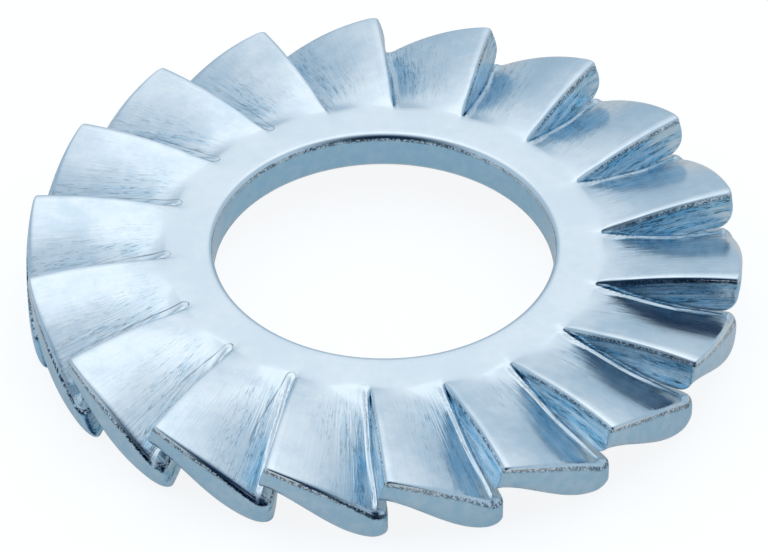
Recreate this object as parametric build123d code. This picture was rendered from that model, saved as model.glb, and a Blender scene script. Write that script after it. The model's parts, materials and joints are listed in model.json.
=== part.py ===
from build123d import *
import os
from math import cos, radians, sin

# A lock washer with external teeth, pressed from one piece of spring steel.
# A flat ring carries the teeth. Slits part them, and each tooth is twisted about its
# own length: one side stands above the ring and the other side hangs below it, so the
# raised side of every tooth stands over the lowered side of the next.
#
# The bore axis is Z. The washer lies on the lowered sides of its teeth, at Z = 0.
# Sizes are in millimetres, and names that end in _angle are in degrees.

# Blank
outside_diameter = 22.0
bore_diameter = 10.5
ring_width = 1.45  # from the bore to the inner ends of the slits
stock_thickness = 1.2
bore_edge_bevel = 0.18  # on the top only, where the punch went in

# Slits
tooth_count = 18
slit_lean_angle = 4.8  # how far the outer end of a slit runs ahead of its inner end
slit_opening = 0.04  # width of a slit at the rim, closing to nothing at its inner end

# Twist of a tooth, measured at the rim
raised_side_lift = 0.35
lowered_side_drop = 1.0
raised_side_early_bend = 1.5  # 0 bends evenly from ring to rim, more bends sooner
lowered_side_early_bend = 0.6
facet_width = 0.38  # flat strip that the press leaves along the lowered side
facet_side_slope = 1.35  # slope of the tooth beside the facet, as a share of its mean slope
raised_side_slope = 0.3  # the same at the raised side

# Edges of a tooth
raised_edge_bevel = 0.12
heel_width = 0.5  # the underside rolls up over this width to the lowered side
heel_rise = 0.25
rim_underside_bevel = 0.25
inner_edge_share = 0.04  # share of the bevel and heel that is left at the ring
inner_facet_share = 0.3

# Construction
section_stations = (0.0, 0.5, 1.0)  # shares of the way from ring to rim
rim_overrun = 0.3  # the sections go this far past the rim, which is then cut round
rim_match = 0.002  # an edge this near the outside radius lies on the rim
underside_slope = 0.3  # a face of the underside looks down at least this steeply

outside_radius = outside_diameter / 2
bore_radius = bore_diameter / 2
root_radius = bore_radius + ring_width
tooth_angle = 360 / tooth_count
root_distance = root_radius * cos(radians(tooth_angle / 2))


def faded(size, inner_share, progress):
    """A size that grows from a share of itself at the ring to its full value at the rim."""
    return size * (inner_share + (1 - inner_share) * progress)


def bent(height, early_bend, progress):
    """Height that a side of the tooth has gained at a share of its length."""
    return height * progress * (1 + early_bend * (1 - progress))


def slit_place(distance, root_angle):
    """Share of a slit's length and sideways place, at a distance from the bore axis."""
    rim_angle = root_angle + slit_lean_angle
    rim_distance = outside_radius * cos(radians(rim_angle))
    root_offset = root_radius * sin(radians(root_angle))
    rim_offset = outside_radius * sin(radians(rim_angle))
    progress = (distance - root_distance) / (rim_distance - root_distance)
    return progress, root_offset + (rim_offset - root_offset) * progress


def tooth_section(distance):
    """Cross-section of a tooth that lies along X, at a distance from the bore axis."""
    raised_progress, raised = slit_place(distance, -tooth_angle / 2)
    lowered_progress, lowered = slit_place(distance, tooth_angle / 2)
    raised += slit_opening / 2 * raised_progress
    lowered -= slit_opening / 2 * lowered_progress
    raised_top = bent(raised_side_lift, raised_side_early_bend, raised_progress)
    lowered_top = bent(-lowered_side_drop, lowered_side_early_bend, lowered_progress)
    bevel = faded(raised_edge_bevel, inner_edge_share, raised_progress)
    facet = faded(facet_width, inner_facet_share, lowered_progress)
    heel_across = faded(heel_width, inner_edge_share, lowered_progress)
    heel_up = faded(heel_rise, inner_edge_share, lowered_progress)

    lowered_edge = (lowered, lowered_top)
    facet_end = (lowered - facet, lowered_top)
    crest = (raised + bevel, raised_top)
    flank_top = (raised, raised_top - bevel)
    flank_foot = (raised, raised_top - stock_thickness)
    heel_start = (lowered - heel_across, lowered_top - stock_thickness)
    heel_end = (lowered, lowered_top - stock_thickness + heel_up)

    mean_slope = (raised_top - lowered_top) / (facet_end[0] - crest[0])
    beside_facet = (-1, facet_side_slope * mean_slope)
    over_crest = (-1, raised_side_slope * mean_slope)
    from_foot = (1, -raised_side_slope * mean_slope)
    level = (1, 0)
    outline = [
        Line(lowered_edge, facet_end),
        Spline(facet_end, crest, tangents=[beside_facet, over_crest]),
        Line(crest, flank_top),
        Line(flank_top, flank_foot),
        Spline(flank_foot, heel_start, tangents=[from_foot, level]),
        TangentArc(heel_start, heel_end, tangent=level),
        Line(heel_end, lowered_edge),
    ]
    across_tooth = Plane(origin=(distance, 0, 0), x_dir=(0, 1, 0), z_dir=(1, 0, 0))
    return across_tooth * make_face(outline)


def lies_on_rim(edge):
    """Whether an edge lies on the outside cylinder."""
    radii = [Vector(place.X, place.Y).length for place in (edge @ 0, edge @ 0.5, edge @ 1)]
    return all(abs(radius - outside_radius) < rim_match for radius in radii)


def rim_underside_edges(tooth):
    """Edges in which the underside of the tooth meets the rim."""
    faces = tooth.faces().filter_by(lambda face: face.normal_at().Z < -underside_slope)
    return [edge for face in faces for edge in face.edges() if lies_on_rim(edge)]


def make_tooth():
    """One twisted tooth along X, its inner end flat against the ring."""
    length = outside_radius + rim_overrun - root_distance
    sections = [tooth_section(root_distance + length * station) for station in section_stations]
    full_height = 2 * (stock_thickness + lowered_side_drop + raised_side_lift)
    # The cylinder is turned so that its seam lies away from the tooth.
    outside = Rot(0, 0, 180) * Cylinder(outside_radius, full_height)
    tooth = loft(sections) & outside
    return chamfer(rim_underside_edges(tooth), rim_underside_bevel)


def make_ring():
    """Flat ring, its top at Z = 0, with a straight side for each tooth to stand against."""
    outline = RegularPolygon(root_radius, tooth_count) - Circle(bore_radius)
    ring = Pos(0, 0, -stock_thickness) * extrude(outline, stock_thickness)
    bore_top_edge = ring.edges().filter_by(GeomType.CIRCLE).sort_by(Axis.Z)[-1]
    return chamfer(bore_top_edge, bore_edge_bevel)


def make_washer():
    """Ring and teeth as one solid, lying on Z = 0."""
    tooth = make_tooth()
    teeth = [Rot(0, 0, tooth_angle * (number + 0.5)) * tooth for number in range(tooth_count)]
    washer = make_ring() + teeth
    return Pos(0, 0, -washer.bounding_box().min.Z) * washer


if __name__ == "__main__":
    os.makedirs("parts", exist_ok=True)
    washer = make_washer()
    washer.label = "lock_washer"
    export_step(washer, "parts/lock_washer.step")
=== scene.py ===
import json
from math import acos, cos, exp, pi, radians, sin, sqrt

import bpy
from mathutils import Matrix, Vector


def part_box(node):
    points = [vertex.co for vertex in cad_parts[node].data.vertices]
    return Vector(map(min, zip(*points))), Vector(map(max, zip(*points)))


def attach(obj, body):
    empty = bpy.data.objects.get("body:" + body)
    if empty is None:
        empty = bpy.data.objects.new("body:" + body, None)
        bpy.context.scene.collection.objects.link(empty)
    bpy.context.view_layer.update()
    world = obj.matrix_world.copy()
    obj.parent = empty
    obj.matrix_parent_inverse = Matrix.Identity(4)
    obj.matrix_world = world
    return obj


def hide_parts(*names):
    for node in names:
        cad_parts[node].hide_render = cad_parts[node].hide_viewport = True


bl_info = {
    "name": "Toothed Lock Washer",
    "version": (1, 0, 0),
    "blender": (4, 5, 0),
    "location": "View3D > Sidebar > Lock Washer",
    "description": "Makes a zinc-plated lock washer with twisted teeth, and a small studio for it",
    "category": "Add Mesh",
}

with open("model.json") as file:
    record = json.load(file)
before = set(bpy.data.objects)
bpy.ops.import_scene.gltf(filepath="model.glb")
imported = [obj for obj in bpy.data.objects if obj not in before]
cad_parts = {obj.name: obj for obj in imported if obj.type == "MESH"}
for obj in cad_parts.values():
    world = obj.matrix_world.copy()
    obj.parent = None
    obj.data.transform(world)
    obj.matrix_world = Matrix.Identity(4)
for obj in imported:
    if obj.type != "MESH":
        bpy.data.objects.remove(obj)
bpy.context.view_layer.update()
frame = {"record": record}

MM = 0.001  # one millimetre, in metres
WASHER_NODE = "lock_washer"
BODY = "root"

low_corner, high_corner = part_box(WASHER_NODE)
bore_mount = next(m for m in frame["record"]["mounts"] if m["name"] == "bore")


def linear(hex_colour):
    """Linear red, green and blue from an sRGB hex colour such as '#C8D2DC'."""
    channels = [int(hex_colour[place : place + 2], 16) / 255 for place in (1, 3, 5)]
    return tuple(c / 12.92 if c <= 0.04045 else ((c + 0.055) / 1.055) ** 2.4 for c in channels)


# Sizes and colours that a user may change


def a_length(name, description, millimetres):
    """A length setting, given in millimetres."""
    return bpy.props.FloatProperty(
        name=name, description=description, default=millimetres * MM, min=0,
        unit="LENGTH", precision=6,
    )


def an_angle(name, description, degrees):
    """An angle setting, given in degrees."""
    return bpy.props.FloatProperty(
        name=name, description=description, default=radians(degrees), subtype="ANGLE"
    )


def a_share(name, description, share, most=1):
    """A setting between nothing and a largest share."""
    return bpy.props.FloatProperty(
        name=name, description=description, default=share, min=0, max=most, subtype="FACTOR"
    )


def a_colour(name, description, hex_colour):
    """A colour setting, given as an sRGB hex colour."""
    return bpy.props.FloatVectorProperty(
        name=name, description=description, default=linear(hex_colour),
        subtype="COLOR", size=3, min=0, max=1,
    )


class WasherSizes(bpy.types.PropertyGroup):
    """Sizes of the washer."""

    tooth_count: bpy.props.IntProperty(
        name="Teeth", description="Number of teeth around the rim", default=18, min=3
    )
    outside_radius: a_length(
        "Outside Radius", "From the bore axis to the rim of the teeth", high_corner.x / MM
    )
    bore_radius: a_length("Bore Radius", "Radius of the bore's wall", bore_mount["dims"]["r_mm"])
    ring_width: a_length("Ring Width", "From the bore to the inner ends of the slits", 1.45)
    stock: a_length("Stock", "Thickness of the sheet", 1.2)
    ring_height: a_length("Ring Height", "Height of the ring's upper face above the floor", 2.197)
    bore_edge_round: a_length("Bore Edge Round", "Radius of the bore's upper edge", 0.2)
    bore_foot_round: a_length("Bore Foot Round", "Radius of the bore's lower edge", 0.05)
    slit_lean: an_angle("Slit Lean", "How far the outer end of a slit runs ahead of its inner end", 4.3)
    slit_opening: a_length("Slit Opening", "Width of a slit at the rim", 0.04)
    lift: a_length("Lift", "How far the raised side of a tooth stands above the ring", 0.345)
    drop: a_length("Drop", "How far the lowered side of a tooth hangs below the ring", 1.03)
    facet: a_length("Facet", "Width of the level strip along the lowered side", 0.48)
    raised_round: a_length("Raised Edge Round", "Width of the round along the raised side", 0.3)
    raised_fall: a_length("Raised Edge Fall", "Height of the round along the raised side", 0.12)
    lowered_round: a_length("Lowered Edge Round", "Width of the round along the lowered side", 0.32)
    lowered_fall: a_length("Lowered Edge Fall", "Height of the round along the lowered side", 0.22)
    bead_rise: a_length("Bead Rise", "Height of the bead that runs along the lowered side", 0.07)
    bead_place: a_length("Bead Place", "From the bead to the lowered side, at the rim", 0.34)
    bead_width: a_length("Bead Width", "Half the width of the bead, at the rim", 0.12)
    flank_lean: a_length("Flank Lean", "How far the raised side's foot stands out", 0.2)
    foot_round: a_length("Foot Round", "Radius under the raised side", 0.03)
    heel_width: a_length("Heel Width", "Width of the round under the lowered side", 0.5)
    heel_rise: a_length("Heel Rise", "Height of the round under the lowered side", 0.34)
    rim_top_round: a_length("Rim Top Round", "Radius of the rim's upper edge, lowered side", 0.34)
    rim_foot_round: a_length("Rim Foot Round", "Width of the round under the rim", 0.5)
    rim_foot_rise: a_length("Rim Foot Rise", "Height of the round under the rim", 0.68)
    overlap: a_length("Overlap", "How far a lowered side reaches under the next tooth", 0.14)
    front_sag: a_length("Front Sag", "How much lower the teeth end on one side of the washer", 0.13)
    sag_turn: an_angle("Sag Turn", "Where round the washer the teeth end lowest", -85)
    trail: an_angle("Trail", "How much further the feet of the lowered sides reach round, at most", 10.5)
    trail_turn: an_angle("Trail Turn", "Where round the washer they reach furthest", -174)
    trail_droop: a_length("Trail Droop", "How much lower those sides end", 0.5)
    raised_corner: a_length("Raised Corner", "Corner radius of a tooth, on its raised side", 0.1)
    lowered_corner: a_length("Lowered Corner", "Corner radius of a tooth, on its lowered side", 0.32)
    pitch_wander: a_share("Pitch Wander", "How far the teeth stray from an even pitch", 1.0)
    twist_spread: a_share("Twist Spread", "Difference in twist from tooth to tooth", 0.04, 0.2)
    blend_reach: a_length("Blend Reach", "How far the bend of the teeth runs into the ring", 0.85)
    seed: bpy.props.IntProperty(
        name="Seed", description="Picks the small differences between teeth", default=3
    )


class ZincFinish(bpy.types.PropertyGroup):
    """Finish of the zinc plating."""

    plate_colour: a_colour("Plate", "Colour of the bright plating", "#E7F3F9")
    film_colour: a_colour("Thin Film", "Colour of the passivation film on the rolled faces", "#D2E4EF")
    # Besides the film, this colour is the painted shade and reflection on the sheared sides and at the foot
    # of each slope.
    film_and_shade_colour: a_colour(
        "Thick Film And Painted Shade", "Colour of the film where it gathers, on the sheared sides", "#76C0E5"
    )
    # This colour darkens the specks, and is also the painted shade on the edges and the tongue outlines.
    speck_and_shade_colour: a_colour("Specks And Painted Shade", "Colour of the torn specks left by the press", "#162B3B")
    roughness: a_share("Roughness", "Roughness of the rolled faces", 0.18)


class Studio(bpy.types.PropertyGroup):
    """Floor, light and camera."""

    floor_colour: a_colour("Floor", "Colour of the floor", "#979899")
    room_colour: a_colour("Room", "Colour of the room all round", "#B5C6D5")
    glow_colour: a_colour("Glow", "Colour of the broad light behind and above", "#F2F6FC")
    dark_colour: a_colour("Dark Side", "Colour of the room on the camera's side", "#0C2844")
    glow_elevation: an_angle("Glow Elevation", "Height of the glow's middle above the horizon", 57)
    glow_turn: an_angle("Glow Turn", "Turn of the glow's middle, from straight behind to the right", 9)
    dark_elevation: an_angle("Dark Elevation", "Height of the dark side's middle above the horizon", 20)
    dark_turn: an_angle(
        "Dark Turn", "Turn of the dark side's middle, from straight in front to the left", 8
    )
    camera_elevation: an_angle("Camera Elevation", "Height of the camera above the horizon", 40.08)
    camera_turn: an_angle("Camera Turn", "Turn of the camera about the bore axis", -5.84)
    camera_distance: a_length("Camera Distance", "From the camera to the ring's upper face", 149.3)
    aim_below: an_angle("Aim Below", "How far below the ring's centre the camera aims", 0.394)
    lens: bpy.props.FloatProperty(
        name="Lens", description="Focal length, on a sensor 36 mm wide", default=227.9,
        min=1, unit="CAMERA",
    )


# One tooth and its share of the ring


class ToothShape:
    """Heights and widths of one tooth, which lies along X, in metres.

    A point of it has a place across the tooth, from the raised side, and a radius.
    """

    facet_side_slope = 1.6  # slopes of the upper face, as shares of its mean slope
    raised_side_slope = 0.55
    raised_early_bend = 1.8
    lowered_early_bend = 0.6
    inner_facet_share = 0.35
    crease = 0.02  # how softly the facet meets the slope, as a share of the width
    edge_start = 0.08  # share of the tooth's length over which its edges gain their rounds
    tongue_middle = 0.19 * MM  # from the lowered side to the middle of the bead's tongue
    tongue_half = 0.15 * MM
    tongue_growth = 0.12  # how much its half width grows for each length that it runs outward
    raised_quarter = 0.25  # over this share of the width, the tongue is that of the tooth before
    overlap_shares = (0.5, 0.9)  # shares of the tooth's length between which its overlap grows
    inner_bead_share = 0.4  # size of the bead at the ring, as a share of its size at the rim
    bead_start = 0.04  # share of the tooth's length over which the bead rises
    bead_end = 0.9  # share of the tooth's length from which it is pressed away
    bead_end_loss = 0.6
    flank_bulge = 0.5  # how much the flank stands out in its middle
    flank_clear = (0.16 * MM, 0.02 * MM)  # it ends between these depths below the next tooth's side
    flank_start = 0.25  # share of the tooth's length over which the flank comes to stand out
    inner_round_share = 0.4  # size of the edge rounds at the ring, as a share of theirs at the rim

    def __init__(self, sizes):
        self.sizes = sizes
        self.pitch = 2 * pi / sizes.tooth_count
        self.root = sizes.bore_radius + sizes.ring_width
        self.ring_top = sizes.ring_height
        inner = Vector((self.root, 0))
        outer = sizes.outside_radius * Vector((cos(sizes.slit_lean), sin(sizes.slit_lean)))
        self.slit_offset = abs(inner.cross(outer)) / (outer - inner).length

    def progress(self, radius):
        return max(0.0, (radius - self.root) / (self.sizes.outside_radius - self.root))

    def slit_turn(self, radius):
        """Angle by which a straight, leaning slit has run ahead at a radius."""
        if radius <= self.root:
            return 0.0
        return acos(self.slit_offset / radius) - acos(self.slit_offset / self.root)

    def width(self, radius):
        """Width of the tooth, whose lowered side reaches under the next tooth near the rim."""
        done = self.progress(radius)
        overlap = self.sizes.overlap * smooth(*self.overlap_shares, done)
        return radius * self.pitch - done * self.sizes.slit_opening + overlap

    def angle(self, across, radius):
        gap = self.progress(radius) * self.sizes.slit_opening
        return self.slit_turn(radius) - self.pitch / 2 + (gap / 2 + across) / radius

    def side_heights(self, radius):
        """Heights of the raised and the lowered side above the ring's upper face."""
        done = self.progress(radius)
        raised = self.sizes.lift * done * (1 + self.raised_early_bend * (1 - done))
        lowered = -self.sizes.drop * done * (1 + self.lowered_early_bend * (1 - done))
        return raised, lowered

    def upper_face(self, across, radius):
        """Height of the upper face above the ring's."""
        raised, lowered = self.side_heights(radius)
        facet_share = self.inner_facet_share + (1 - self.inner_facet_share) * self.progress(radius)
        width = self.width(radius)
        slope_width = width - self.sizes.facet * facet_share
        share = 1 - across / slope_width
        share = (share + sqrt(share * share + self.crease * self.crease)) / 2
        share /= (1 + sqrt(1 + self.crease * self.crease)) / 2
        ease = share * share * (3 - 2 * share)
        start = share * (1 - share) ** 2 * self.facet_side_slope
        end = share * share * (share - 1) * self.raised_side_slope
        return lowered + (raised - lowered) * (ease + start + end)

    def bead(self, across, radius):
        """Height of the bead that the press raises beside the slit."""
        done = self.progress(radius)
        growth = blend(self.inner_bead_share, 1, done)
        away = self.width(radius) - across - self.sizes.bead_place * growth
        ends = smooth(0, self.bead_start, done) * (1 - self.bead_end_loss * smooth(self.bead_end, 1, done))
        return self.sizes.bead_rise * ends * exp(-((away / self.sizes.bead_width / growth) ** 2))

    def tongue(self, across, radius):
        """Distance from the outline of the tongue in which the bead starts, less than 0 in it."""
        side = self.width(radius) - across
        if across < self.raised_quarter * self.width(radius):
            side = -across
        beyond = min(0.0, radius - self.root)
        wider = max(0.0, radius - self.root) * self.tongue_growth
        off_middle = side - self.tongue_middle - wider
        return sqrt(off_middle ** 2 + beyond * beyond) - self.tongue_half - wider

    def flank(self, share, height, radius):
        """How far the raised side's flank stands out, at a share of the way down it.

        It draws back in just below the next tooth's lowered side, so that its foot sinks into
        that side a little and the slit looks closed.
        """
        lowered = self.side_heights(radius)[1]
        low, high = self.flank_clear
        clear = smooth(lowered - low, lowered - high, height)
        bulged = share * (1 + self.flank_bulge - self.flank_bulge * share)
        return self.sizes.flank_lean * bulged * clear * smooth(0, self.flank_start, self.progress(radius))

    def lower_face(self, across, radius):
        """Height of the lower face, measured like the upper one's, from the ring's lower face."""
        raised, lowered = self.side_heights(radius)
        slope_width = self.width(radius) - self.sizes.heel_width * self.edge_growth(radius)
        share = min(1.0, max(0.0, 1 - across / slope_width))
        ease = share * share * (3 - 2 * share)
        end = share * share * (share - 1) * self.raised_side_slope
        return lowered + (raised - lowered) * (ease + end)

    def edge_growth(self, radius):
        """Share of their full size that the edge rounds have at a radius."""
        share = min(1.0, self.progress(radius) / self.edge_start)
        growth = blend(self.inner_round_share, 1, self.progress(radius))
        return share * share * (3 - 2 * share) * growth


def rounded(distance, width, height):
    """How far an elliptical edge round lies below the sharp edge, at a distance from its side."""
    if distance >= width or width <= 0:
        return 0.0
    return height * (1 - sqrt(max(0.0, 1 - (1 - max(0.0, distance) / width) ** 2)))


def steps(start, end, count):
    """Evenly spaced places after start, up to end."""
    return [start + (end - start) * (number + 1) / count for number in range(count)]


def blend(low, high, share):
    return low + (high - low) * share


def smooth(low, high, value):
    """0 below low, 1 above high, and a soft step between them."""
    share = min(1.0, max(0.0, (value - low) / (high - low)))
    return share * share * (3 - 2 * share)


CELL = ((0, 0), (0, 1), (1, 1), (1, 0))  # corners of a cell of a grid, in order


class ToothMesh:
    """Builds the mesh of one tooth and its share of the ring.

    The upper and lower faces are grids of columns, which run out along the tooth, and
    stations, which cross it. The slit sides, the rim and the bore join their edges.
    """

    upper_middle = [0.0, 0.012] + steps(0.012, 0.8, 12) + steps(0.8, 0.985, 10) + [1.0]
    lower_middle = [0.0, 0.02] + steps(0.02, 0.98, 22) + [1.0]
    upper_cells = (6, 6)  # cells across the edge rounds of the raised and the lowered side
    lower_cells = (3, 9)
    column_count = 36
    bore_stations, ring_stations, tooth_stations, rim_stations = 5, 7, 20, 11
    root_station = bore_stations + ring_stations
    bore_band, rim_band = 1.1, 1.02  # close stations reach this far, as shares of the rounds there
    root_steps = (0.05, 0.11, 0.19, 0.29, 0.41)  # stations just outside the ring, in millimetres
    slit_rows = 12
    bore_rows = 4
    corner_step = 0.3  # share of the tooth's length over which the columns close up at its sides
    raised_rim_share = 0.2  # the rim's upper round at the raised side, as a share of the lowered one
    foot_width_loss, foot_rise_loss = 0.3, 0.5  # how much less the rim's foot is at the lowered side

    def __init__(self, shape):
        self.shape = shape
        self.sizes = shape.sizes
        self.numbers = {}
        self.points = []
        names = ("rise", "slit_turn", "lowered_gap", "depth", "tongue")
        self.marks = {name: [] for name in names}
        self.faces = []
        self.radii = self.make_radii()

    def make_radii(self):
        """Radii of the stations, close together near the bore and the rim."""
        sizes = self.sizes
        near_bore = sizes.bore_edge_round * self.bore_band
        near_rim = sizes.rim_foot_round * self.rim_band
        radii = [
            sizes.bore_radius + near_bore * (number / self.bore_stations) ** 2
            for number in range(self.bore_stations + 1)
        ]
        radii += steps(radii[-1], self.shape.root, self.ring_stations)
        radii += [self.shape.root + away * MM for away in self.root_steps]
        radii += steps(radii[-1], sizes.outside_radius - near_rim, self.tooth_stations)
        for number in reversed(range(self.rim_stations)):
            radii.append(sizes.outside_radius - near_rim * (number / self.rim_stations) ** 2)
        return radii

    def side_insets(self, radius):
        """How far the raised and the lowered side draw in at the corners of the rim."""
        if radius <= self.shape.root:
            return 0.0, 0.0
        inside = self.sizes.outside_radius - radius
        corners = (self.sizes.raised_corner, self.sizes.lowered_corner)
        return [rounded(inside, size, size) for size in corners]

    def face_inset(self, across, radius, upper):
        """How far the upper or lower face draws in near the bore and the rim."""
        sizes = self.sizes
        if radius <= self.shape.root:
            size = sizes.bore_edge_round if upper else sizes.bore_foot_round
            return rounded(radius - sizes.bore_radius, size, size)
        share = smooth(0.0, 1.0, across / self.shape.width(radius))
        inside = sizes.outside_radius - radius
        if upper:
            size = sizes.rim_top_round * blend(self.raised_rim_share, 1, share)
            return rounded(inside, size, size)
        width = sizes.rim_foot_round * (1 - self.foot_width_loss * share)
        return rounded(inside, width, sizes.rim_foot_rise * (1 - self.foot_rise_loss * share))

    def columns(self, radius, raised_in, lowered_in, widths, cells, middle):
        """Places across a face: even in the ring, and close together on a tooth's edge rounds."""
        width = self.shape.width(radius)
        growth = self.shape.edge_growth(radius)
        left, right = widths[0] * growth, widths[1] * growth
        dense = [raised_in + left * (1 - cos(pi / 2 * n / cells[0])) for n in range(cells[0])]
        start, end = raised_in + left, width - lowered_in - right
        dense += [blend(start, end, share) for share in middle]
        dense += [end + right * sin(pi / 2 * (n + 1) / cells[1]) for n in range(cells[1])]
        even = [width * n / self.column_count for n in range(self.column_count + 1)]
        share = smooth(0, self.corner_step, self.shape.progress(radius))
        return [blend(low, high, share) for low, high in zip(even, dense)]

    def face_heights(self, radius, upper):
        """(place across, height, rise) of each column, on the upper or the lower face."""
        sizes, shape = self.sizes, self.shape
        raised_in, lowered_in = self.side_insets(radius)
        growth = shape.edge_growth(radius)
        width = shape.width(radius)
        if not upper:
            foot = shape.lower_face(0, radius) - sizes.stock + self.face_inset(0, radius, False)
            raised_in -= shape.flank(1.0, foot, radius)
        if upper:
            widths = (sizes.raised_round, sizes.lowered_round)
            falls = (sizes.raised_fall, sizes.lowered_fall)
            cells, middle = self.upper_cells, self.upper_middle
        else:
            widths, falls = (sizes.foot_round, sizes.heel_width), (sizes.foot_round, sizes.heel_rise)
            cells, middle = self.lower_cells, self.lower_middle
        places = []
        for across in self.columns(radius, raised_in, lowered_in, widths, cells, middle):
            drawn_in = self.face_inset(across, radius, upper)
            for number, inside in enumerate((across - raised_in, width - lowered_in - across)):
                drawn_in += rounded(inside, widths[number] * growth, falls[number] * growth)
            if upper:
                rise = shape.upper_face(across, radius)
                places.append((across, rise - drawn_in + shape.bead(across, radius), rise))
            else:
                rise = shape.lower_face(across, radius)
                places.append((across, rise - sizes.stock + drawn_in, rise))
        return places

    def point(self, key, radius, across, height, rise):
        """Adds a point, or finds it again by its key."""
        if key in self.numbers:
            return self.numbers[key]
        shape = self.shape
        angle = shape.angle(across, radius)
        self.points.append((radius * cos(angle), radius * sin(angle), shape.ring_top + height))
        self.marks["rise"].append(rise)
        self.marks["slit_turn"].append(shape.slit_turn(radius))
        self.marks["lowered_gap"].append(shape.width(radius) - across)
        self.marks["depth"].append(rise - height)
        self.marks["tongue"].append(shape.tongue(across, radius))
        self.numbers[key] = len(self.points) - 1
        return self.numbers[key]

    def build(self):
        shape = self.shape
        last = self.column_count
        rim = len(self.radii) - 1
        upper = [self.face_heights(radius, True) for radius in self.radii]
        lower = [self.face_heights(radius, False) for radius in self.radii]
        rows = self.slit_rows

        def upper_point(column, station):
            place = upper[station][column]
            return self.point(("upper", column, station), self.radii[station], *place)

        def lower_point(column, station):
            place = lower[station][column]
            return self.point(("lower", column, station), self.radii[station], *place)

        def wall_point(column, station, row, row_count):
            if row == 0:
                return upper_point(column, station)
            if row == row_count:
                return lower_point(column, station)
            share = row / row_count
            place = [blend(a, b, share) for a, b in zip(upper[station][column], lower[station][column])]
            if column == 0 and station > self.root_station:
                place[0] = upper[station][0][0] - shape.flank(share, place[1], self.radii[station])
            return self.point(("wall", column, station, row), self.radii[station], *place)

        def rim_point(column, row):
            if column in (0, last) or row in (0, rows):
                return wall_point(column, rim, row, rows)
            # Between the four edges of the rim face, its points are spread by their edges' places.
            down, along = row / rows, column / last
            place = []
            for top, foot in zip(zip(*upper[rim]), zip(*lower[rim])):
                sides = [blend(top[side], foot[side], down) for side in (0, last)]
                flat = blend(blend(top[0], top[last], along), blend(foot[0], foot[last], along), down)
                spread = blend(top[column], foot[column], down) + blend(*sides, along)
                place.append(spread - flat)
            return self.point(("rim", column, row), self.radii[rim], *place)

        for station in range(rim):
            for column in range(last):
                self.faces.append(tuple(upper_point(column + a, station + b) for a, b in CELL))
                self.faces.append(tuple(lower_point(column + a, station + b) for b, a in CELL))
        for station in range(self.root_station, rim):
            for row in range(rows):
                for column, order in ((0, 1), (last, -1)):
                    corners = [wall_point(column, station + out, row + down, rows) for out, down in CELL]
                    self.faces.append(tuple(corners[::order]))
        for column in range(last):
            for row in range(rows):
                self.faces.append(tuple(rim_point(column + a, row + b) for a, b in CELL))
            for row in range(self.bore_rows):
                self.faces.append(tuple(
                    wall_point(column + a, 0, row + b, self.bore_rows) for b, a in CELL
                ))
        mesh = bpy.data.meshes.new("tooth")
        mesh.from_pydata(self.points, [], self.faces)
        for name, values in self.marks.items():
            mesh.attributes.new(name, "FLOAT", "POINT").data.foreach_set("value", values)
        mesh.update()
        return mesh


# How the press lets the teeth stray from an even pitch: waves that run this many times round
# the washer, how far each turns the slits at the ring and at the rim, and where it starts.
PITCH_WAVES = (
    (1, radians(0.37), 0.0, radians(45.9)),
    (2, radians(2.13), 0.0, radians(5.3)),
    (3, radians(0.45), 0.0, radians(31.1)),
    (1, 0.0, radians(0.74), radians(19.7)),
    (2, 0.0, radians(1.56), radians(0.6)),
    (3, 0.0, radians(0.53), radians(-25.0)),
)

# How the copies are joined and bent, besides the settings.
MERGE_DISTANCE = 0.0002 * MM
BLEND_CORE = 0.4  # share of the blend's reach in which it is full
BLEND_PASSES = 24
SAG_FOCUS = 4.0  # how closely the sag keeps to its side of the washer
TRAIL_FOCUS = 3.4  # the same for the droop of the trailing sides
TRAIL_SHARPNESS = 1.6  # how much closer the trail keeps than the droop
TRAIL_WIDTH = 2.2 * MM  # how far across a tooth its trail and droop reach
TRAIL_UPPER_LOSS = 0.65  # share of the trail that the upper face doesn't follow
GRAIN_RADIUS = 9 * MM  # the grain has everywhere the width that it has at this radius


# Node trees


def add(tree, kind, settings=None, inputs=None):
    """Adds a node with its settings, and gives its inputs values or links."""
    made = tree.nodes.new(kind)
    for name, value in (settings or {}).items():
        setattr(made, name, value)
    for key, value in (inputs or {}).items():
        if isinstance(value, bpy.types.NodeSocket):
            tree.links.new(value, made.inputs[key])
        else:
            made.inputs[key].default_value = value
    return made


def calc(tree, operation, *values):
    """The result of a Math node."""
    return add(tree, "ShaderNodeMath", {"operation": operation}, dict(enumerate(values))).outputs[0]


def soft_step(tree, value, low, high, to_low=0.0, to_high=1.0):
    """to_low below low, to_high above high, and a soft step between them."""
    inputs = {"Value": value, "From Min": low, "From Max": high, "To Min": to_low, "To Max": to_high}
    return add(tree, "ShaderNodeMapRange", {"interpolation_type": "SMOOTHSTEP"}, inputs).outputs[0]


def fade(tree, value, low, high):
    """1 below low, 0 above high, and a soft step between them."""
    return soft_step(tree, value, low, high, 1.0, 0.0)


def times(tree, *values):
    """The product of several values."""
    product = values[0]
    for value in values[1:]:
        product = calc(tree, "MULTIPLY", product, value)
    return product


def mixed(tree, share, low, high):
    """A colour between two others."""
    return add(tree, "ShaderNodeMix", {"data_type": "RGBA"}, {"Factor": share, 6: low, 7: high}).outputs[2]


def mark(tree, name, kind):
    """One of the marks that the mesh carries, in a material."""
    return add(tree, "ShaderNodeAttribute", {"attribute_name": name}).outputs[kind]


def noise_scale(millimetres):
    """Scale of a noise whose patches are about so many millimetres across."""
    return 0.8 / (millimetres * MM)


def noise(tree, vector, millimetres, detail):
    return add(tree, "ShaderNodeTexNoise", inputs={
        "Vector": vector, "Scale": noise_scale(millimetres), "Detail": detail, "Roughness": 0.65,
    }).outputs[0]


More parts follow.
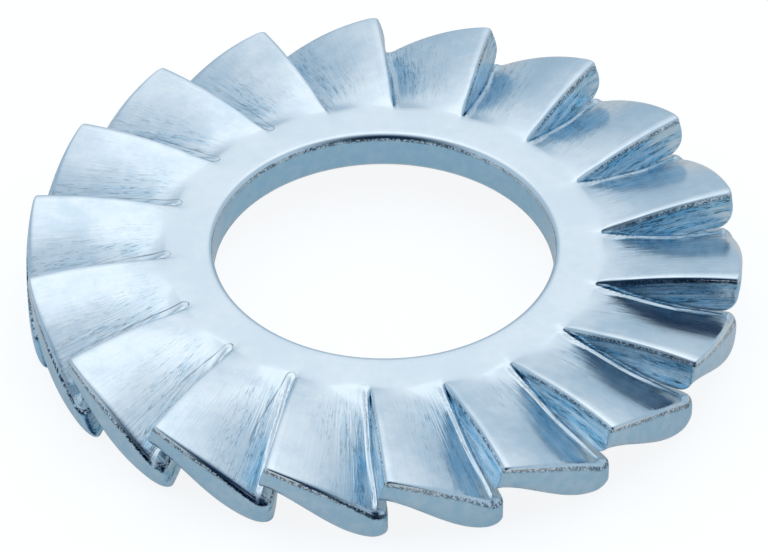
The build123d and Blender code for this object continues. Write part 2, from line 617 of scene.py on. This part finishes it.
def streaks(tree, grain, depth, millimetres, shortness, detail):
    """Noise drawn out along the teeth, in streaks of a width, which differ down their sides."""
    parts = {0: grain, 1: (1, 1, shortness)}
    along = add(tree, "ShaderNodeVectorMath", {"operation": "MULTIPLY"}, parts).outputs[0]
    return add(tree, "ShaderNodeTexNoise", {"noise_dimensions": "4D"}, {
        "Vector": along, "W": depth, "Scale": noise_scale(millimetres), "Detail": detail,
        "Roughness": 0.6,
    }).outputs[0]


def from_axis(tree, place):
    """Distance of a place from the bore axis."""
    flat = add(tree, "ShaderNodeVectorMath", {"operation": "MULTIPLY"}, {0: place, 1: (1, 1, 0)})
    return add(tree, "ShaderNodeVectorMath", {"operation": "LENGTH"}, {0: flat.outputs[0]}).outputs[1]


def named_float(tree, name):
    return add(tree, "GeometryNodeInputNamedAttribute", {"data_type": "FLOAT"}, {"Name": name}).outputs[0]


def moved_up(tree, geometry, height):
    """Geometry with each of its points moved up by a height."""
    offset = add(tree, "ShaderNodeCombineXYZ", inputs={"Z": height}).outputs[0]
    inputs = {"Geometry": geometry, "Offset": offset}
    return add(tree, "GeometryNodeSetPosition", inputs=inputs).outputs[0]


# What the tree asks for, and the kind of each
TREE_INPUTS = {
    "Teeth": "Int", "Twist Spread": "Float", "Seed": "Int",
    "Root Radius": "Float", "Blend Reach": "Float",
    "Outside Radius": "Float", "Pitch Wander": "Float",
    "Front Sag": "Float", "Sag Turn": "Float", "Stock": "Float",
    "Trail": "Float", "Trail Turn": "Float", "Trail Droop": "Float",
    "Grain Radius": "Float", "Material": "Material",
}


def washer_tree():
    """Repeats one tooth around the ring, joins the copies and bends them softly into the ring."""
    tree = bpy.data.node_groups.new("Toothed washer", "GeometryNodeTree")
    interface = tree.interface
    interface.new_socket("Geometry", in_out="OUTPUT", socket_type="NodeSocketGeometry")
    interface.new_socket("Geometry", in_out="INPUT", socket_type="NodeSocketGeometry")
    for name, kind in TREE_INPUTS.items():
        interface.new_socket(name, in_out="INPUT", socket_type="NodeSocket" + kind)
    given = add(tree, "NodeGroupInput").outputs

    points = add(tree, "GeometryNodePoints", inputs={"Count": given["Teeth"]})
    index = add(tree, "GeometryNodeInputIndex").outputs[0]
    place = calc(tree, "ADD", index, 0.5)
    turn = calc(tree, "DIVIDE", times(tree, place, 2 * pi), given["Teeth"])
    turned = add(tree, "ShaderNodeCombineXYZ", inputs={"Z": turn}).outputs[0]
    copies = add(tree, "GeometryNodeInstanceOnPoints", inputs={
        "Points": points.outputs[0], "Instance": given["Geometry"], "Rotation": turned,
    })
    kind = {"data_type": "FLOAT", "domain": "INSTANCE"}
    counted = add(tree, "GeometryNodeStoreNamedAttribute", kind, {
        "Geometry": copies.outputs[0], "Name": "tooth", "Value": index,
    })
    real = add(tree, "GeometryNodeRealizeInstances", inputs={"Geometry": counted.outputs[0]})

    # Some teeth are twisted a little less than others.
    spread = given["Twist Spread"]
    varied = add(tree, "FunctionNodeRandomValue", {"data_type": "FLOAT"}, {
        "Min": calc(tree, "SUBTRACT", 0.0, spread), "Max": 0.0,
        "ID": named_float(tree, "tooth"), "Seed": given["Seed"],
    }).outputs[1]
    extra = times(tree, named_float(tree, "rise"), varied)
    joined = add(tree, "GeometryNodeMergeByDistance", inputs={
        "Geometry": moved_up(tree, real.outputs[0], extra), "Distance": MERGE_DISTANCE,
    })

    # The crease where the teeth leave the ring is softened, on both faces alike.
    position = add(tree, "GeometryNodeInputPosition").outputs[0]
    radius = from_axis(tree, position)
    away = calc(tree, "ABSOLUTE", calc(tree, "SUBTRACT", radius, given["Root Radius"]))
    reach = given["Blend Reach"]
    nearness = fade(tree, away, times(tree, reach, BLEND_CORE), reach)
    rise = named_float(tree, "rise")
    blurred = add(tree, "GeometryNodeBlurAttribute", {"data_type": "FLOAT"}, {
        0: rise, "Iterations": BLEND_PASSES, "Weight": nearness,
    }).outputs[0]
    soft = moved_up(tree, joined.outputs[0], calc(tree, "SUBTRACT", blurred, rise))

    # Grain follows the length of the teeth: two parts go round the washer and one goes outward.
    split = add(tree, "ShaderNodeSeparateXYZ", inputs={0: position})
    angle = calc(tree, "ARCTAN2", split.outputs[1], split.outputs[0])
    straight = calc(tree, "SUBTRACT", angle, named_float(tree, "slit_turn"))
    grain = add(tree, "ShaderNodeCombineXYZ", inputs={
        "X": times(tree, calc(tree, "COSINE", straight), given["Grain Radius"]),
        "Y": times(tree, calc(tree, "SINE", straight), given["Grain Radius"]),
        "Z": radius,
    }).outputs[0]
    kind = {"data_type": "FLOAT_VECTOR", "domain": "POINT"}
    grained = add(tree, "GeometryNodeStoreNamedAttribute", kind, {
        "Geometry": soft, "Name": "grain", "Value": grain,
    })

    # The teeth stray from their even pitch, and not alike at the ring and at the rim.
    outward = add(tree, "ShaderNodeMapRange", inputs={
        "Value": radius, "From Min": given["Root Radius"], "From Max": given["Outside Radius"],
    }).outputs[0]
    stray = 0.0
    for waves, at_ring, at_rim, start in PITCH_WAVES:
        reach = calc(tree, "ADD", times(tree, outward, at_rim - at_ring), at_ring)
        wave = calc(tree, "SINE", times(tree, calc(tree, "SUBTRACT", angle, start), waves))
        stray = calc(tree, "ADD", times(tree, wave, reach), stray)
    strayed = calc(tree, "ADD", angle, times(tree, stray, given["Pitch Wander"]))
    # On one side of the washer the upper faces sag towards the rim, and the lower ones don't.
    share = calc(tree, "SUBTRACT", 1.0, calc(tree, "DIVIDE", named_float(tree, "depth"), given["Stock"]))
    square = calc(tree, "POWER", outward, 2.0)
    facing = calc(tree, "COSINE", calc(tree, "SUBTRACT", angle, given["Sag Turn"]))
    side = calc(tree, "POWER", calc(tree, "ADD", times(tree, facing, 0.5), 0.5), SAG_FOCUS)
    sag = times(tree, side, share, square, given["Front Sag"])
    # On another side the lowered sides reach further round, their feet most of all, and hang lower.
    facing = calc(tree, "COSINE", calc(tree, "SUBTRACT", angle, given["Trail Turn"]))
    near = calc(tree, "EXPONENT", times(tree, calc(tree, "SUBTRACT", facing, 1.0), TRAIL_FOCUS))
    lowered_side = fade(tree, named_float(tree, "lowered_gap"), 0.0, TRAIL_WIDTH)
    droop = times(tree, near, lowered_side, share, square, given["Trail Droop"])
    reach = calc(tree, "SUBTRACT", 1.0, times(tree, share, TRAIL_UPPER_LOSS))
    near = calc(tree, "POWER", near, TRAIL_SHARPNESS)
    trail = times(tree, near, lowered_side, reach, square, given["Trail"])
    strayed = calc(tree, "ADD", strayed, trail)
    lowered = calc(tree, "SUBTRACT", split.outputs[2], calc(tree, "ADD", sag, droop))
    strayed_place = add(tree, "ShaderNodeCombineXYZ", inputs={
        "X": times(tree, radius, calc(tree, "COSINE", strayed)),
        "Y": times(tree, radius, calc(tree, "SINE", strayed)),
        "Z": lowered,
    }).outputs[0]
    placed = add(tree, "GeometryNodeSetPosition", inputs={
        "Geometry": grained.outputs[0], "Position": strayed_place,
    })
    shaded = add(tree, "GeometryNodeSetShadeSmooth", inputs={"Geometry": placed.outputs[0]})
    finished = add(tree, "GeometryNodeSetMaterial", inputs={
        "Geometry": shaded.outputs[0], "Material": given["Material"],
    })
    add(tree, "NodeGroupOutput", inputs={"Geometry": finished.outputs[0]})
    return tree


def made_by_nodes(name, mesh, tree, values):
    """Runs a node tree on a mesh and returns an object with the plain mesh that it makes."""
    piece = bpy.data.objects.new(name, mesh)
    bpy.context.scene.collection.objects.link(piece)
    modifier = piece.modifiers.new("Washer", "NODES")
    modifier.node_group = tree
    for item in tree.interface.items_tree:
        if item.in_out == "INPUT" and item.name in values:
            modifier[item.identifier] = values[item.name]
    depsgraph = bpy.context.evaluated_depsgraph_get()
    plain = bpy.data.meshes.new_from_object(
        piece.evaluated_get(depsgraph), preserve_all_data_layers=True, depsgraph=depsgraph
    )
    piece.modifiers.remove(modifier)
    piece.data = plain
    plain.name = name
    bpy.data.meshes.remove(mesh)
    return piece


# Finish


# How deep each pattern is cut into the metal, as shares of CUT_DEPTH
CUTS = {
    "tooth": 3.0, "flank": 6.5, "slope foot": 8.0, "low half": 11.0, "walls": 9.0,
    "speckle": 0.45, "grit": 5.0,
}
CUT_DEPTH = 0.004 * MM
CUT_STRENGTH = 0.35
SHEARED_ROUGHNESS, SPECK_ROUGHNESS = 0.06, 0.2  # on top of the rolled faces' roughness


def zinc_plate(finish, sizes, root):
    """Spring steel, zinc plated and blue passivated.

    It gives the eye a pale, cool metal with soft reflections. The film is thin on the rolled
    faces. The sheared sides are mixed towards a strong blue, partly the film's tint and partly painted
    shade and reflection, and the foot of each tooth's slope gets painted reflection, in blue streaks
    along the tooth. The press leaves fine lines, dark specks and grainy edges; the dark grains on the
    edges are partly painted shade, and the tongues' outlines are painted shade.
    """
    material = bpy.data.materials.new("zinc plated spring steel, blue passivated")
    material.use_nodes = True
    tree = material.node_tree
    tree.nodes.clear()
    place = add(tree, "ShaderNodeTexCoord").outputs["Object"]
    grain = mark(tree, "grain", "Vector")
    depth = mark(tree, "depth", "Fac")
    side = mark(tree, "lowered_gap", "Fac")
    radius = from_axis(tree, place)
    across, ahead, _ = add(tree, "ShaderNodeSeparateXYZ", inputs={0: place}).outputs

    # Shares of each place that are tooth, sheared side, edge, and foot of the slope.
    outside = sizes.outside_radius
    full_tooth = root + 1.2 * MM
    tooth = soft_step(tree, radius, root, full_tooth)
    under = fade(tree, depth, sizes.stock - 0.1 * MM, sizes.stock - 0.02 * MM)
    sheared = times(tree, soft_step(tree, depth, 0.13 * MM, 0.24 * MM), under)
    inside_rim = fade(tree, radius, outside - 0.16 * MM, outside - 0.02 * MM)
    flank = times(tree, sheared, soft_step(tree, radius, root, root + 0.1 * MM), inside_rim)
    upper = fade(tree, depth, 0.03 * MM, 0.09 * MM)
    edge = times(
        tree, soft_step(tree, depth, 0.08 * MM, 0.12 * MM),
        fade(tree, depth, 0.18 * MM, 0.28 * MM),
    )
    inboard = fade(tree, radius, outside - 0.9 * MM, outside - 0.3 * MM)
    slope_foot = times(
        tree, soft_step(tree, side, 0.3 * MM, 0.45 * MM),
        fade(tree, side, 0.6 * MM, 1.7 * MM), upper, tooth,
    )
    # On one side of the washer the rim's edge gets more grit and more painted shade.
    rim_grit_and_shade = soft_step(tree, across, -6 * MM, 3 * MM, 1.0, 0.75)
    rough_and_shaded_edge = times(tree, edge, calc(tree, "MAXIMUM", inboard, rim_grit_and_shade))
    low_half = times(tree, fade(tree, side, 0.3 * MM, 2.6 * MM), upper, tooth)
    # The outline of the tongues is painted dark on one side of the washer: painted shade along the bead's
    # edges.
    leftward = fade(tree, across, -5 * MM, 0.0)
    off_tongue = calc(tree, "ABSOLUTE", mark(tree, "tongue", "Fac"))
    outline = times(
        tree, fade(tree, off_tongue, 0.004 * MM, 0.035 * MM),
        fade(tree, radius, root + 0.6 * MM, root + 4.0 * MM), upper, leftward,
    )

    # Fine lines along the teeth, about 0.05 mm wide and 2 mm long.
    lines = streaks(tree, grain, depth, 0.05, 0.03, 3.0)
    # Streaks about 0.15 mm wide and 1.5 mm long, which shape the film's tint, the painted shade and
    # reflection, the specks and some bumps.
    bands = streaks(tree, grain, depth, 0.15, 0.1, 4.0)
    # Torn specks, about 0.03 mm wide and eight times as long.
    torn = streaks(tree, grain, depth, 0.03, 0.12, 2.0)
    # The film's clouds, about 2 mm across, and a mottle of 0.3 mm.
    clouds = noise(tree, place, 2.0, 2.0)
    mottle = noise(tree, place, 0.3, 3.0)
    # Grit on the edges, about 0.05 mm across: bumps that the press leaves, and the grain of the painted
    # shade along the edges.
    grit = noise(tree, place, 0.055, 2.0)
    # Zinc crystals, too small to see one by one: a speckle about 0.05 mm across.
    speckle = noise(tree, place, 0.05, 2.0)

    clouded = soft_step(tree, mottle, 0.35, 0.65, -0.04, 0.05)
    # The sheared sides are mixed towards the thick film's blue: partly the film's tint, partly painted
    # shade and reflection of the darker surroundings they mirror. There is more on the bore's wall than on
    # the teeth, and it lies in streaks on the flanks.
    walls = calc(tree, "ADD", soft_step(tree, radius, root - 0.3 * MM, root, 0.62, 0.45), clouded)
    walls = times(tree, sheared, walls)
    film_and_painted_shade = calc(tree, "ADD", walls, times(tree, flank, soft_step(tree, bands, 0.38, 0.62, -0.28, 0.34)))
    # Painted reflection: blue streaks at the foot of each slope, beside the lowered side, where the metal
    # mirrors the next tooth's shaded flank.
    painted_foot_reflection = times(tree, slope_foot, inboard, soft_step(tree, bands, 0.42, 0.6, 0.0, 0.3))
    film_and_painted_shade = calc(tree, "ADD", film_and_painted_shade, painted_foot_reflection)
    speckled = calc(tree, "ADD", times(tree, low_half, 0.5), times(tree, flank, 0.75))
    specks = times(tree, soft_step(tree, torn, 0.52, 0.6), soft_step(tree, bands, 0.42, 0.58), speckled)
    # Painted shade along the bore's edge, strongest on the back of the washer.
    bore = sizes.bore_radius
    painted_bore_edge_shade = times(
        tree, fade(tree, radius, bore + 0.04 * MM, bore + 0.15 * MM),
        soft_step(tree, ahead, 2.5 * MM, 5.0 * MM, 0.3, 0.85),
    )
    # The speck colour is laid in grains along the edges: partly grit, partly painted shade and reflection
    # of the room's dark side.
    grit_and_painted_shade = times(
        tree, soft_step(tree, grit, 0.42, 0.52), soft_step(tree, mottle, 0.3, 0.5), rough_and_shaded_edge,
        calc(tree, "MAXIMUM", tooth, painted_bore_edge_shade),
        soft_step(tree, side, 0.5 * MM, 2.5 * MM, 1.0, 0.8),
    )
    patches = soft_step(tree, calc(tree, "ADD", clouds, times(tree, mottle, 0.5)), 0.55, 0.95)
    patches = times(tree, patches, soft_step(tree, radius, root, full_tooth, 0.4, 1.0))
    thin = mixed(tree, patches, (*finish.plate_colour, 1), (*finish.film_colour, 1))
    filmed = mixed(tree, film_and_painted_shade, thin, (*finish.film_and_shade_colour, 1))
    outline = times(tree, outline, soft_step(tree, bands, 0.35, 0.6, 0.15, 0.75))
    # The speck colour darkens the specks, and as painted shade the tongue outlines and the edges.
    dark = calc(tree, "MAXIMUM", specks, outline)
    colour = mixed(tree, calc(tree, "MAXIMUM", dark, grit_and_painted_shade), filmed, (*finish.speck_and_shade_colour, 1))

    lined = soft_step(tree, lines, 0.3, 0.7, -0.04, 0.06)
    lined = times(tree, lined, calc(tree, "MAXIMUM", upper, flank))
    roughness = calc(tree, "ADD", lined, finish.roughness)
    for share, rougher in ((sheared, SHEARED_ROUGHNESS), (specks, SPECK_ROUGHNESS)):
        roughness = calc(tree, "ADD", roughness, times(tree, share, rougher))
    drawn = calc(tree, "ADD", times(tree, tooth, upper, CUTS["tooth"]), times(tree, flank, CUTS["flank"]))
    cuts = times(tree, lines, calc(tree, "ADD", drawn, times(tree, slope_foot, CUTS["slope foot"])))
    cuts = calc(tree, "ADD", cuts, times(tree, bands, low_half, CUTS["low half"]))
    cuts = calc(tree, "ADD", cuts, times(tree, mottle, sheared, CUTS["walls"]))
    grains = times(tree, speckle, CUTS["speckle"])
    grains = calc(tree, "ADD", grains, times(tree, grit, rough_and_shaded_edge, CUTS["grit"]))
    bump = add(tree, "ShaderNodeBump", inputs={
        "Height": calc(tree, "ADD", cuts, grains), "Strength": CUT_STRENGTH, "Distance": CUT_DEPTH,
    }).outputs[0]
    shader = add(tree, "ShaderNodeBsdfPrincipled", inputs={
        "Base Color": colour, "Metallic": 1.0, "Roughness": roughness, "Normal": bump,
    })
    add(tree, "ShaderNodeOutputMaterial", inputs={"Surface": shader.outputs[0]})
    return material


# The floor is paler to the camera than in the metal, whose underside and sheared sides stay dark.
FLOOR_SEEN, FLOOR_MIRRORED = 0.84, 0.42
FLOOR_REACH = 1.5
GLOW_HALVES = radians(36), radians(33)  # half the width and half the height of the glow
DARK_HALVES = radians(40), radians(50)
GLOW_FADE = 0.4, 1.55  # the glow and the dark side fade between these shares of their halves
DARK_FADE = 0.4, 1.4
LAMP_PLACE = (0.026, 0.165, 0.37)
LAMP_SIZE = 0.22
LAMP_WATTS = 0.025
SENSOR_WIDTH = 36  # in millimetres, as Blender's cameras have it
NEAREST_SEEN, FARTHEST_SEEN = 0.01, 10


def floor_white(tree):
    """Strength of the white that the floor adds, to the camera and in reflections."""
    path = add(tree, "ShaderNodeLightPath").outputs
    seen = times(tree, path["Is Camera Ray"], FLOOR_SEEN)
    mirrored = calc(tree, "ADD", path["Is Glossy Ray"], path["Is Transmission Ray"])
    return calc(tree, "ADD", seen, times(tree, mirrored, FLOOR_MIRRORED))


def floor_material(studio):
    """Matt board: grey, made pale by an even white, so that it keeps a soft shadow."""
    material = bpy.data.materials.new("matt white board")
    material.use_nodes = True
    tree = material.node_tree
    tree.nodes.clear()
    board = add(tree, "ShaderNodeBsdfDiffuse", inputs={"Color": (*studio.floor_colour, 1)}).outputs[0]
    glow = add(tree, "ShaderNodeEmission", inputs={"Strength": floor_white(tree)}).outputs[0]
    both = add(tree, "ShaderNodeAddShader", inputs={0: board, 1: glow}).outputs[0]
    add(tree, "ShaderNodeOutputMaterial", inputs={"Surface": both})
    return material


def studio_world(studio):
    """A grey-blue room, with a broad pale glow behind and above the object and a dark side in front."""
    world = bpy.data.worlds.new("studio")
    world.use_nodes = True
    tree = world.node_tree
    tree.nodes.clear()
    direction = add(tree, "ShaderNodeTexCoord").outputs["Generated"]
    x, y, z = add(tree, "ShaderNodeSeparateXYZ", inputs={0: direction}).outputs
    elevation = calc(tree, "ARCSINE", z)

    def distance(ahead, right, middle_turn, middle_elevation, halves):
        """Distance of a direction from the middle of an oval patch, as a share of its halves."""
        turn = calc(tree, "SUBTRACT", calc(tree, "ARCTAN2", right, ahead), middle_turn)
        across = calc(tree, "DIVIDE", times(tree, turn, calc(tree, "COSINE", elevation)), halves[0])
        up = calc(tree, "DIVIDE", calc(tree, "SUBTRACT", elevation, middle_elevation), halves[1])
        squares = calc(tree, "POWER", up, 2.0), calc(tree, "POWER", across, 2.0)
        return calc(tree, "SQRT", calc(tree, "ADD", *squares))

    off_glow = distance(y, x, studio.glow_turn, studio.glow_elevation, GLOW_HALVES)
    near_glow = fade(tree, off_glow, *GLOW_FADE)
    glow = mixed(tree, near_glow, (*studio.room_colour, 1), (*studio.glow_colour, 1))
    back, left = times(tree, y, -1.0), times(tree, x, -1.0)
    off_dark = distance(back, left, studio.dark_turn, studio.dark_elevation, DARK_HALVES)
    colour = mixed(tree, soft_step(tree, off_dark, *DARK_FADE), (*studio.dark_colour, 1), glow)
    room = add(tree, "ShaderNodeBackground", inputs={"Color": colour, "Strength": 1.0}).outputs[0]
    add(tree, "ShaderNodeOutputWorld", inputs={"Surface": room})
    return world


def back_light():
    """A square soft lamp, above and behind the washer."""
    light = bpy.data.lights.new("back light", "AREA")
    light.shape = "SQUARE"
    light.size = LAMP_SIZE
    light.energy = LAMP_WATTS
    lamp = bpy.data.objects.new("back light", light)
    lamp.location = LAMP_PLACE
    lamp.rotation_euler = (-Vector(LAMP_PLACE)).to_track_quat("-Z", "Y").to_euler()
    bpy.context.scene.collection.objects.link(lamp)


# Operators


class MakeWasher(bpy.types.Operator):
    """Make the lock washer and give it its zinc finish"""

    bl_idname = "lock_washer.make_washer"
    bl_label = "Make Washer"

    def execute(self, context):
        sizes, finish = context.scene.lock_washer_sizes, context.scene.lock_washer_finish
        shape = ToothShape(sizes)
        mesh = ToothMesh(shape).build()
        values = {
            "Teeth": sizes.tooth_count, "Root Radius": shape.root, "Grain Radius": GRAIN_RADIUS,
            "Material": zinc_plate(finish, sizes, shape.root),
        }
        for name in TREE_INPUTS:
            if name not in values:  # the other inputs are named as the sizes are
                values[name] = getattr(sizes, name.lower().replace(" ", "_"))
        piece = made_by_nodes("washer", mesh, washer_tree(), values)
        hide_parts(WASHER_NODE)
        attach(piece, BODY)
        return {"FINISHED"}


class MakeStudio(bpy.types.Operator):
    """Make the floor, the lamp and the camera"""

    bl_idname = "lock_washer.make_studio"
    bl_label = "Make Studio"

    def execute(self, context):
        scene = context.scene
        studio = scene.lock_washer_studio
        mesh = bpy.data.meshes.new("floor")
        corners = [(x * FLOOR_REACH, y * FLOOR_REACH, 0) for x, y in ((-1, -1), (1, -1), (1, 1), (-1, 1))]
        mesh.from_pydata(corners, [], [(0, 1, 2, 3)])
        mesh.materials.append(floor_material(studio))
        floor = bpy.data.objects.new("floor", mesh)
        scene.collection.objects.link(floor)

        scene.world = studio_world(studio)
        back_light()

        centre = Vector((0, 0, scene.lock_washer_sizes.ring_height))
        turn, elevation = studio.camera_turn, studio.camera_elevation
        outward = Vector((sin(turn) * cos(elevation), -cos(turn) * cos(elevation), sin(elevation)))
        camera = bpy.data.cameras.new("camera")
        camera.sensor_width = SENSOR_WIDTH
        camera.lens = studio.lens
        camera.clip_start = NEAREST_SEEN
        camera.clip_end = FARTHEST_SEEN
        eye = bpy.data.objects.new("camera", camera)
        eye.location = centre + studio.camera_distance * outward
        eye.rotation_euler = (pi / 2 - elevation - studio.aim_below, 0, turn)
        scene.collection.objects.link(eye)
        scene.camera = eye
        scene.view_settings.view_transform = "Standard"
        return {"FINISHED"}


class WasherPanel(bpy.types.Panel):
    """Lists what the washer is made of"""

    bl_idname = "VIEW3D_PT_lock_washer"
    bl_label = "Lock Washer"
    bl_space_type = "VIEW_3D"
    bl_region_type = "UI"
    bl_category = "Lock Washer"

    def draw(self, context):
        for settings in SETTINGS:
            box = self.layout.box()
            group = getattr(context.scene, settings)
            for name in group.__annotations__:
                box.prop(group, name)
        for operator in (MakeWasher, MakeStudio):
            self.layout.operator(operator.bl_idname)


CLASSES = (WasherSizes, ZincFinish, Studio, MakeWasher, MakeStudio, WasherPanel)
SETTINGS = {
    "lock_washer_sizes": WasherSizes,
    "lock_washer_finish": ZincFinish,
    "lock_washer_studio": Studio,
}


def register():
    for made_class in CLASSES:
        bpy.utils.register_class(made_class)
    for name, group in SETTINGS.items():
        setattr(bpy.types.Scene, name, bpy.props.PointerProperty(type=group))


def unregister():
    for name in SETTINGS:
        delattr(bpy.types.Scene, name)
    for made_class in reversed(CLASSES):
        bpy.utils.unregister_class(made_class)


def main():
    register()
    bpy.ops.lock_washer.make_washer()
    bpy.ops.lock_washer.make_studio()


if __name__ == "__main__":
    main()
